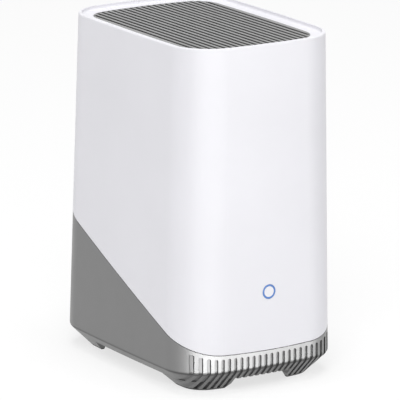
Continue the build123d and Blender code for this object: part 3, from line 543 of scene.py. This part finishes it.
def open_piece(name):
    """Names the new primitive, fixes its place and size, and opens it in edit mode with nothing selected."""
    piece = bpy.context.object
    piece.name = piece.data.name = name
    bpy.ops.object.transform_apply(location=True, rotation=True, scale=True)
    bpy.ops.object.mode_set(mode="EDIT")
    bpy.ops.mesh.select_mode(type="FACE")
    bpy.ops.mesh.select_all(action="DESELECT")
    return piece


def start_box(name, low, high):
    """A box piece between two corners, open in edit mode."""
    low, high = Vector(low), Vector(high)
    deselect_all()
    bpy.ops.mesh.primitive_cube_add(size=1, location=(low + high) / 2)
    bpy.context.object.scale = high - low
    return open_piece(name)


def start_board_box(name, across, along, up):
    """A box piece on the main board, from pairs of distances off its face, along the depth and up."""
    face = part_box("main_board")[1].x
    return start_box(name, *((face + x, y, z) for x, y, z in zip(across, along, up)))


def start_rod(name, middle, radius, reach, way):
    """A rod piece along one way, open in edit mode."""
    deselect_all()
    turn = Vector(UP).rotation_difference(Vector(way)).to_euler()
    bpy.ops.mesh.primitive_cylinder_add(
        vertices=ROD_SIDES, radius=radius, depth=reach, location=middle, rotation=turn
    )
    return open_piece(name)


def select_faces(piece, wanted):
    """Selects the faces of the piece in edit mode whose centre and normal are wanted."""
    mesh = bmesh.from_edit_mesh(piece.data)
    for face in mesh.faces:
        face.select = wanted(face.calc_center_median(), face.normal)
    mesh.select_flush_mode()
    bmesh.update_edit_mesh(piece.data)


def select_facing(piece, way):
    """Selects the faces of the piece in edit mode that look one way."""
    facing = Vector(way)
    select_faces(piece, lambda centre, normal: normal.dot(facing) > FACING)


def extrude(step):
    """Extrudes the selected faces by one step."""
    bpy.ops.mesh.extrude_region_move(TRANSFORM_OT_translate={"value": step})


def inset(steps):
    """Insets the selected faces by each pair of thickness and depth."""
    for thickness, depth in steps:
        bpy.ops.mesh.inset(thickness=thickness, depth=depth)


def repeat(piece, count, step):
    """Repeats a piece inside its own mesh, by one step each time."""
    bpy.ops.object.mode_set(mode="OBJECT")
    modifier = piece.modifiers.new("Repeat", "ARRAY")
    modifier.count = count
    modifier.use_relative_offset = False
    modifier.use_constant_offset = True
    modifier.constant_offset_displace = step
    bpy.ops.object.modifier_apply(modifier=modifier.name)
    bpy.ops.object.mode_set(mode="EDIT")


def end_piece(piece, body, material, bevel=0.0):
    """Leaves edit mode, rounds the edges, and gives the piece its body, slot and material."""
    bpy.ops.object.mode_set(mode="OBJECT")
    if bevel:
        modifier = piece.modifiers.new("Round", "BEVEL")
        modifier.width = bevel
        modifier.segments = 2
        modifier.limit_method = "ANGLE"
        bpy.ops.object.modifier_apply(modifier=modifier.name)
    bpy.ops.object.shade_smooth_by_angle(angle=math.radians(SMOOTH_ANGLE))
    piece.data.materials.clear()
    piece.data.materials.append(MATERIALS[material])
    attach(piece, body)
    deselect_all()
    return piece


def copy_along(piece, name, shift, body):
    """A copy of a finished piece with its own mesh, moved inside the mesh."""
    twin = bpy.data.objects.new(name, piece.data.copy())
    bpy.context.scene.collection.objects.link(twin)
    twin.data.name = name
    for vertex in twin.data.vertices:
        vertex.co += Vector(shift)
    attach(twin, body)
    return twin


# Operators


class STATION_OT_finishes(bpy.types.Operator):
    """Gives every solid of the station its material"""

    bl_idname = "station.finishes"
    bl_label = "Give the finishes"

    def execute(self, context):
        MATERIALS.update(build_materials(context.scene.station_finish))
        slots = {row["node"]: row["material_slot"] for row in frame["record"]["subparts"]}
        for name, node in frame["nodes"].items():
            node.data.materials.clear()
            node.data.materials.append(MATERIALS[slots[name]])
        return {"FINISHED"}


class STATION_OT_network_contacts(bpy.types.Operator):
    """Adds the eight sprung contacts of the network socket"""

    bl_idname = "station.network_contacts"
    bl_label = "Add the network contacts"

    def execute(self, context):
        sizes = context.scene.station_contacts
        low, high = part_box("network_socket")
        wire = sizes.network_width
        first = (low.z + high.z) / 2 - (CONTACT_COUNT - 1) / 2 * sizes.network_pitch
        left = low.x + CONTACT_ROOT
        rear = high.y - CONTACT_DEPTH
        piece = start_box(
            "network_contact_1",
            (left, rear, first - wire / 2),
            (left + wire, rear + CONTACT_STUB, first + wire / 2),
        )
        for reach, rise in CONTACT_BENDS:
            tip = rear + CONTACT_STUB
            select_faces(piece, lambda centre, normal: normal.y > FACING and centre.y >= tip - SLACK)
            extrude((rise, reach, 0))
            rear += reach
        contact = end_piece(piece, "root", "contact_gold", bevel=CONTACT_ROUND)
        for number in range(1, CONTACT_COUNT):
            shift = (0, 0, number * sizes.network_pitch)
            copy_along(contact, f"network_contact_{number + 1}", shift, "root")
        return {"FINISHED"}


class STATION_OT_usb_contacts(bpy.types.Operator):
    """Adds the four contacts on the tongue of the USB socket"""

    bl_idname = "station.usb_contacts"
    bl_label = "Add the USB contacts"

    def execute(self, context):
        sizes = context.scene.station_contacts
        low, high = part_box("usb_socket")
        face = high.x - USB_WALL - TONGUE_MARGIN - TONGUE_THICKNESS
        front = high.y - USB_DEPTH
        first = (low.z + high.z) / 2 + USB_PLACES[0]
        piece = start_box(
            "usb_contact_1",
            (face - USB_OUTER, front, first - sizes.usb_width / 2),
            (face - USB_INNER, front + sizes.usb_reach, first + sizes.usb_width / 2),
        )
        select_facing(piece, (-1, 0, 0))
        inset(USB_INSETS)
        contact = end_piece(piece, "root", "contact_gold", bevel=USB_ROUND)
        for number, place in enumerate(USB_PLACES[1:], start=2):
            shift = (0, 0, place - USB_PLACES[0])
            copy_along(contact, f"usb_contact_{number}", shift, "root")
        return {"FINISHED"}


class STATION_OT_socket_insides(bpy.types.Operator):
    """Adds the network socket's liner, the USB tongue's sleeve and the power inlet's bright pin"""

    bl_idname = "station.socket_insides"
    bl_label = "Add the sockets' insides"

    def execute(self, context):
        self.add_liner(context.scene.station_details.liner_wall)
        self.add_sleeve()
        self.add_pin()
        return {"FINISHED"}

    def add_liner(self, wall):
        """A floor with walls on three sides; the side of the contacts stays open."""
        low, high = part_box("network_socket")
        middle = (low.z + high.z) / 2
        left, right = (low.x + place for place in LINER_ACROSS)
        deep = high.y - LINER_DEPTH
        liner = start_box(
            "network_liner",
            (left, deep, middle - LINER_HALF),
            (right, deep + wall, middle + LINER_HALF),
        )
        select_facing(liner, REAR)
        inset(((wall, 0),))

        def is_wall(centre, normal):
            outside = abs(centre.z - middle) > LINER_HALF - wall or centre.x < left + wall
            return normal.y > FACING and outside and centre.x < right - wall

        select_faces(liner, is_wall)
        extrude((0, LINER_REACH, 0))
        end_piece(liner, "root", "black_plastic")

    def add_sleeve(self):
        """A block under the tongue's contacts, sunk a little at its mouth."""
        low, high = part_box("usb_socket")
        middle = (low.z + high.z) / 2
        sleeve = start_box(
            "usb_sleeve",
            (high.x - SLEEVE_ACROSS[0], high.y - SLEEVE_RUN[0], middle - SLEEVE_HALF),
            (high.x - SLEEVE_ACROSS[1], high.y - SLEEVE_RUN[1], middle + SLEEVE_HALF),
        )
        select_facing(sleeve, REAR)
        inset(SLEEVE_INSETS)
        end_piece(sleeve, "root", "black_plastic", bevel=SLEEVE_ROUND)

    def add_pin(self):
        """A pin with a domed tip."""
        low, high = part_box("power_jack")
        middle = (low.x + PIN_ACROSS, high.y - PIN_DEPTH, (low.z + high.z) / 2)
        pin = start_rod("power_pin", middle, PIN_RADIUS, PIN_LENGTH, REAR)
        select_facing(pin, REAR)
        inset(PIN_INSETS)
        end_piece(pin, "root", "tinned_steel")


def loose_parts(mesh):
    """The points of each loose part of a mesh."""
    parts = []
    for first in mesh.verts:
        if first.tag:
            continue
        first.tag = True
        waiting, points = [first], []
        while waiting:
            vertex = waiting.pop()
            points.append(vertex.co.copy())
            for edge in vertex.link_edges:
                other = edge.other_vert(vertex)
                if not other.tag:
                    other.tag = True
                    waiting.append(other)
        parts.append(points)
    return parts


def head_end(points):
    """The outer middle of a screw's head, and the way that it faces: the screw's wider end."""
    low = Vector([min(point[axis] for point in points) for axis in range(3)])
    high = Vector([max(point[axis] for point in points) for axis in range(3)])
    size = high - low
    axis = max(range(3), key=lambda number: size[number])
    ends = []
    for side in (-1, 1):
        tip = (low + high) / 2
        tip[axis] += side * size[axis] / 2
        way = Vector((0, 0, 0))
        way[axis] = side
        reach = max((point - tip).length for point in points if abs(point[axis] - tip[axis]) < SLACK)
        ends.append((reach, tip, way))
    return max(ends, key=lambda end: end[0])[1:]


def screw_ends(name):
    """The head's end of every screw in a group."""
    mesh = bmesh.new()
    mesh.from_mesh(frame["nodes"][name].data)
    bmesh.ops.remove_doubles(mesh, verts=mesh.verts, dist=WELD)
    ends = [head_end(points) for points in loose_parts(mesh)]
    mesh.free()
    return ends


class STATION_OT_screw_heads(bpy.types.Operator):
    """Adds a domed rim with a cross drive to the head of every screw"""

    bl_idname = "station.screw_heads"
    bl_label = "Add the screws' heads"

    def execute(self, context):
        model = self.model_head(context.scene.station_details)
        for name in sorted(frame["nodes"]):
            if name.endswith("_screws"):
                self.cap(name, model)
        bpy.data.meshes.remove(model)
        return {"FINISHED"}

    def model_drive(self, sizes):
        """A cross that is cut out of the head."""
        half = sizes.drive_width / 2
        drive = start_box("drive", (-half, -half, -DRIVE_DEPTH), (half, half, DRIVE_DEPTH))
        for way in ((1, 0, 0), (-1, 0, 0), (0, 1, 0), (0, -1, 0)):
            facing = Vector(way)
            select_faces(drive, lambda centre, normal: (centre - facing * half).length < SLACK)
            extrude(facing * (sizes.drive_reach / 2 - half))
        bpy.ops.object.mode_set(mode="OBJECT")
        return drive

    def model_head(self, sizes):
        """The mesh of one head that faces up, with its rim's outer middle above the origin."""
        drive = self.model_drive(sizes)
        middle = (0, 0, (HEAD_RISE - sizes.head_wrap) / 2)
        head = start_rod("head", middle, sizes.head_radius, HEAD_RISE + sizes.head_wrap, UP)
        select_facing(head, UP)
        inset(HEAD_INSETS)
        bpy.ops.object.mode_set(mode="OBJECT")
        cut = head.modifiers.new("Drive", "BOOLEAN")
        cut.operation = "DIFFERENCE"
        cut.object = drive
        cut.solver = "EXACT"
        bpy.ops.object.modifier_apply(modifier=cut.name)
        bpy.data.objects.remove(drive, do_unlink=True)
        model = head.data.copy()
        bpy.data.objects.remove(head, do_unlink=True)
        return model

    def cap(self, name, model):
        """Sets the modelled head on every screw of a group and joins the heads to one piece."""
        deselect_all()
        for tip, way in screw_ends(name):
            mesh = model.copy()
            turn = Vector(UP).rotation_difference(way).to_matrix().to_4x4()
            mesh.transform(Matrix.Translation(tip) @ turn)
            cap = bpy.data.objects.new(f"{name}_heads", mesh)
            bpy.context.scene.collection.objects.link(cap)
            cap.select_set(True)
            bpy.context.view_layer.objects.active = cap
        bpy.ops.object.join()
        piece = bpy.context.object
        piece.name = piece.data.name = f"{name}_heads"
        bpy.ops.object.mode_set(mode="EDIT")
        end_piece(piece, "root", "screw_steel")


class STATION_OT_board_parts(bpy.types.Operator):
    """Adds the chips, coils, capacitors and small parts of the main board"""

    bl_idname = "station.board_parts"
    bl_label = "Add the board's parts"

    def execute(self, context):
        self.add_chips()
        self.add_coils()
        self.add_capacitors(context.scene.station_details)
        self.add_small_parts()
        return {"FINISHED"}

    def add_chips(self):
        """Two flat chips, each with a row of bent legs on both sides."""
        chip = start_board_box("memory_chip_1", *CHIP_BOX)
        select_facing(chip, RIGHT)
        inset(CHIP_INSETS)
        end_piece(chip, "root", "black_plastic", bevel=CHIP_ROUND)
        copy_along(chip, "memory_chip_2", CHIP_STEP, "root")

        front, rear = CHIP_BOX[1]
        for number, edge, side in ((1, rear, 1), (3, front, -1)):
            run = sorted((edge, edge + side * LEG_LENGTH))
            leg = start_board_box(f"chip_legs_{number}", LEG_ACROSS, run, LEG_RISE)
            select_facing(leg, (0, side, 0))
            extrude((-LEG_DROP, side * LEG_TOE, 0))
            repeat(leg, LEG_COUNT, (0, 0, LEG_PITCH))
            legs = end_piece(leg, "root", "tinned_steel")
            copy_along(legs, f"chip_legs_{number + 1}", CHIP_STEP, "root")

    def add_coils(self):
        """Two square coils with a sunk core."""
        coil = start_board_box("coil_1", *COIL_BOX)
        select_facing(coil, RIGHT)
        inset(COIL_INSETS)
        end_piece(coil, "root", "magnet_iron", bevel=COIL_ROUND)
        copy_along(coil, "coil_2", COIL_STEP, "root")

    def add_capacitors(self, sizes):
        """Three round cans, each on its foot."""
        across = (0, FOOT_THICKNESS)
        along = (CAN_ALONG - FOOT_HALF, CAN_ALONG + FOOT_HALF)
        foot = start_board_box("capacitor_foot_1", across, along, (CAN_UP - FOOT_HALF, CAN_UP + FOOT_HALF))
        select_facing(foot, RIGHT)
        inset(FOOT_INSETS)
        end_piece(foot, "root", "black_plastic", bevel=FOOT_ROUND)

        off_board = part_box("main_board")[1].x + FOOT_THICKNESS + sizes.can_length / 2
        middle = (off_board, CAN_ALONG, CAN_UP)
        can = start_rod("capacitor_1", middle, sizes.can_radius, sizes.can_length, RIGHT)
        select_facing(can, RIGHT)
        inset(CAN_INSETS)
        end_piece(can, "root", "sink_aluminium")
        for number in (2, 3):
            shift = (0, CAN_STEP * (number - 1), 0)
            copy_along(foot, f"capacitor_foot_{number}", shift, "root")
            copy_along(can, f"capacitor_{number}", shift, "root")

    def add_small_parts(self):
        """Three rows of small parts with raised ends."""
        small = start_board_box("small_parts_1", *SMALL_BOX)
        select_faces(small, lambda centre, normal: abs(normal.z) > FACING)
        thickness, depth = SMALL_INSET
        bpy.ops.mesh.inset(thickness=thickness, depth=depth, use_individual=True)
        repeat(small, SMALL_COUNT, (0, 0, SMALL_PITCH))
        small = end_piece(small, "root", "switch_pin")
        for number in (2, 3):
            shift = (0, SMALL_ROW_STEP * (number - 1), 0)
            copy_along(small, f"small_parts_{number}", shift, "root")


class STATION_OT_stage(bpy.types.Operator):
    """Sets the floor, the lamps, the room's light and the camera"""

    bl_idname = "station.stage"
    bl_label = "Set the stage"

    def execute(self, context):
        stage = context.scene.station_stage
        add_floor(stage)
        add_room(context.scene, stage)
        add_lamp("key_lamp", *KEY_LAMP, stage.key)
        add_lamp("front_lamp", *FRONT_LAMP, stage.front)
        add_lamp("top_lamp", *TOP_LAMP, stage.top)
        sheen = add_lamp("sheen_lamp", *SHEEN_LAMP, stage.sheen)
        sheen.data.shape = "RECTANGLE"
        sheen.data.size_y = SHEEN_HEIGHT
        sheen.visible_diffuse = False
        add_camera(context.scene)
        context.scene.view_settings.view_transform = "Standard"
        return {"FINISHED"}


def seen_directly(tree):
    """1 where the camera, a reflection or a clear material sees the surface, and 0 for bounced light."""
    path = tree.nodes.new("ShaderNodeLightPath")
    seen = calculate(tree, "MAXIMUM", path.outputs["Is Camera Ray"], path.outputs["Is Glossy Ray"])
    return calculate(tree, "MAXIMUM", seen, path.outputs["Is Transmission Ray"])


def join_shaders(tree, given, shown, output_type):
    """Sends out what the surface gives as light, but what it shows where it is seen directly."""
    mix = tree.nodes.new("ShaderNodeMixShader")
    tree.links.new(seen_directly(tree), mix.inputs["Fac"])
    tree.links.new(given, mix.inputs[1])
    tree.links.new(shown, mix.inputs[2])
    output = tree.nodes.new(output_type)
    tree.links.new(mix.outputs["Shader"], output.inputs["Surface"])


def add_floor(stage):
    """A plain pale floor that shows its own white and keeps the shadow."""
    deselect_all()
    bpy.ops.mesh.primitive_plane_add(size=FLOOR_SIZE, location=(0, 0, 0))
    floor = bpy.context.object
    floor.name = "floor"
    material = bpy.data.materials.new("floor_pale")
    material.use_nodes = True
    tree = material.node_tree
    tree.nodes.clear()
    lit = tree.nodes.new("ShaderNodeBsdfDiffuse")
    lit.inputs["Color"].default_value = (*stage.floor, 1)
    shaded = tree.nodes.new("ShaderNodeBsdfDiffuse")
    shaded.inputs["Color"].default_value = (*[1 - stage.floor_glow] * 3, 1)
    glow = tree.nodes.new("ShaderNodeEmission")
    glow.inputs["Color"].default_value = (*[stage.floor_glow] * 3, 1)
    seen = tree.nodes.new("ShaderNodeAddShader")
    tree.links.new(shaded.outputs["BSDF"], seen.inputs[0])
    tree.links.new(glow.outputs["Emission"], seen.inputs[1])
    join_shaders(tree, lit.outputs["BSDF"], seen.outputs["Shader"], "ShaderNodeOutputMaterial")
    floor.data.materials.append(material)
    deselect_all()


def add_room(scene, stage):
    """A white room to the eye, with a plainer level for the light it gives."""
    world = bpy.data.worlds.new("white_room")
    world.use_nodes = True
    tree = world.node_tree
    tree.nodes.clear()
    shown = tree.nodes.new("ShaderNodeBackground")
    shown.inputs["Color"].default_value = (1, 1, 1, 1)
    given = tree.nodes.new("ShaderNodeBackground")
    given.inputs["Color"].default_value = (1, 1, 1, 1)
    given.inputs["Strength"].default_value = stage.ambient
    join_shaders(tree, given.outputs["Background"], shown.outputs["Background"], "ShaderNodeOutputWorld")
    scene.world = world


def add_lamp(name, azimuth, elevation, distance, size, watts):
    """A round lamp that faces the station, at an azimuth from the front and a height above the floor."""
    turn, rise = math.radians(azimuth), math.radians(elevation)
    away = Vector((math.sin(turn) * math.cos(rise), -math.cos(turn) * math.cos(rise), math.sin(rise)))
    light = bpy.data.lights.new(name, "AREA")
    light.shape = "DISK"
    light.size = size
    light.energy = watts
    lamp = bpy.data.objects.new(name, light)
    lamp.location = Vector((0, 0, AIM_HEIGHT)) + away * distance
    lamp.rotation_euler = (-away).to_track_quat("-Z", "Y").to_euler()
    bpy.context.scene.collection.objects.link(lamp)
    return lamp


def add_camera(scene):
    """The camera at the photograph's viewing angle."""
    azimuth, elevation = math.radians(CAMERA_AZIMUTH), math.radians(CAMERA_ELEVATION)
    level = math.cos(elevation)
    forward = Vector((-math.sin(azimuth) * level, math.cos(azimuth) * level, -math.sin(elevation)))
    across = Vector((math.cos(azimuth), math.sin(azimuth), 0))
    upward = across.cross(forward)
    target = Vector((0, 0, AIM_HEIGHT)) + across * AIM_ACROSS + upward * AIM_UP
    data = bpy.data.cameras.new("camera")
    data.sensor_width = SENSOR
    data.lens = FOCAL_PIXELS / PICTURE * SENSOR
    data.clip_start = CAMERA_NEAR
    data.clip_end = CAMERA_FAR
    camera = bpy.data.objects.new("camera", data)
    camera.location = target - forward * CAMERA_DISTANCE
    camera.rotation_euler = forward.to_track_quat("-Z", "Y").to_euler()
    scene.collection.objects.link(camera)
    scene.camera = camera


class STATION_PT_panel(bpy.types.Panel):
    """Lists the station's steps and settings"""

    bl_idname = "STATION_PT_panel"
    bl_label = "Base station"
    bl_space_type = "VIEW_3D"
    bl_region_type = "UI"
    bl_category = "Base station"

    def draw(self, context):
        layout = self.layout
        scene = context.scene
        groups = (scene.station_finish, scene.station_contacts, scene.station_details, scene.station_stage)
        for group in groups:
            box = layout.box()
            for name in group.__annotations__:
                box.prop(group, name)
        for operator in OPERATORS:
            layout.operator(operator.bl_idname)


GROUPS = (StationFinish, StationContacts, StationDetails, StationStage)
OPERATORS = (
    STATION_OT_finishes,
    STATION_OT_network_contacts,
    STATION_OT_usb_contacts,
    STATION_OT_socket_insides,
    STATION_OT_screw_heads,
    STATION_OT_board_parts,
    STATION_OT_stage,
)


def register():
    for item in (*GROUPS, *OPERATORS, STATION_PT_panel):
        bpy.utils.register_class(item)
    bpy.types.Scene.station_finish = bpy.props.PointerProperty(type=StationFinish)
    bpy.types.Scene.station_contacts = bpy.props.PointerProperty(type=StationContacts)
    bpy.types.Scene.station_details = bpy.props.PointerProperty(type=StationDetails)
    bpy.types.Scene.station_stage = bpy.props.PointerProperty(type=StationStage)


def unregister():
    del bpy.types.Scene.station_stage
    del bpy.types.Scene.station_details
    del bpy.types.Scene.station_contacts
    del bpy.types.Scene.station_finish
    for item in (STATION_PT_panel, *reversed(OPERATORS), *reversed(GROUPS)):
        bpy.utils.unregister_class(item)


def main():
    """Builds the visual model around the frame and sets the stage."""
    register()
    bpy.ops.station.finishes()
    bpy.ops.station.network_contacts()
    bpy.ops.station.usb_contacts()
    bpy.ops.station.socket_insides()
    bpy.ops.station.screw_heads()
    bpy.ops.station.board_parts()
    bpy.ops.station.stage()


if __name__ == "__main__":
    main()
